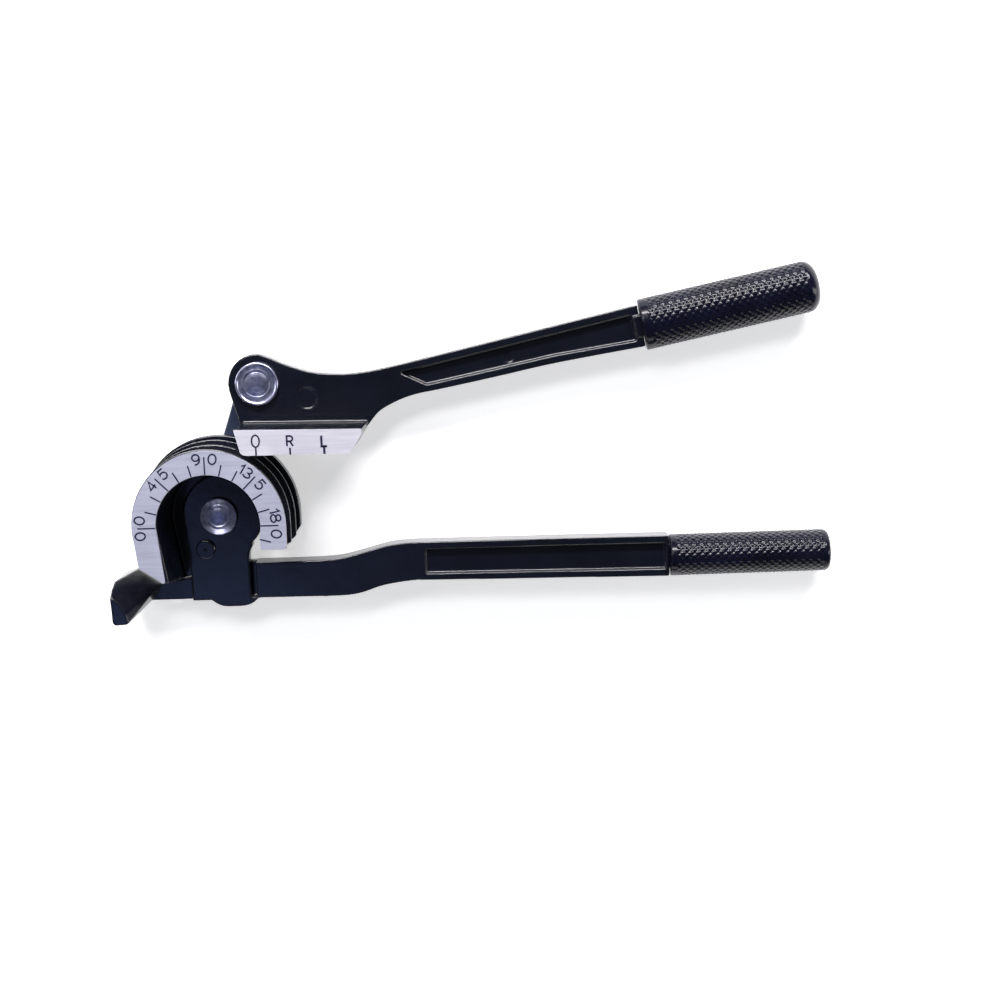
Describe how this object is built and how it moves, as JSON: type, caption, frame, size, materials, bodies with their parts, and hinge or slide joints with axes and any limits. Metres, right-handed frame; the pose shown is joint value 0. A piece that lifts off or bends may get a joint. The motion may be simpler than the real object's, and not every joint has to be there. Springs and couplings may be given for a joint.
{
  "type": "tube bender",
  "caption": "Manual lever tube bender with grooved former, degree scale, swinging shoe lever and knurled grips",
  "frame": {"origin": "on the former's pivot axis, at the lowest face, which is the flat back of the former rivet", "axes": "+X along the lower handle towards its grip, +Y towards the upper lever, +Z along the pivot axis towards the degree scale"},
  "size_m": [0.3149, 0.1473, 0.0413],
  "materials": {
    "paint": "glossy black enamel with a navy tinge on die-cast metal",
    "scale": "satin silver plate with dark printed marks",
    "steel": "turned bright steel with concentric rings",
    "grip": "black moulded plastic with a diamond knurl"
  },
  "bodies": {
    "lower_handle_body": {"lower_handle": "paint", "former_wheel": "paint", "degree_plate": "scale", "lock_pin": "paint", "lower_grip": "grip", "former_rivet": "steel"},
    "link_body": {"link_plate": "paint", "shoe_rivet": "steel"},
    "lever_body": {"upper_lever": "paint", "mark_plate": "scale", "upper_grip": "grip"}
  },
  "joints": [
    {"name": "link_swing", "type": "hinge", "parent": "lower_handle_body", "child": "link_body", "pos_m": [0, 0, 0.004], "axis": [0, 0, 1], "range_deg": [-3, 108]},
    {"name": "lever_swing", "type": "hinge", "parent": "link_body", "child": "lever_body", "pos_m": [0.02, 0.0583, 0.01], "axis": [0, 0, 1], "range_deg": [-17, 100]}
  ]
}
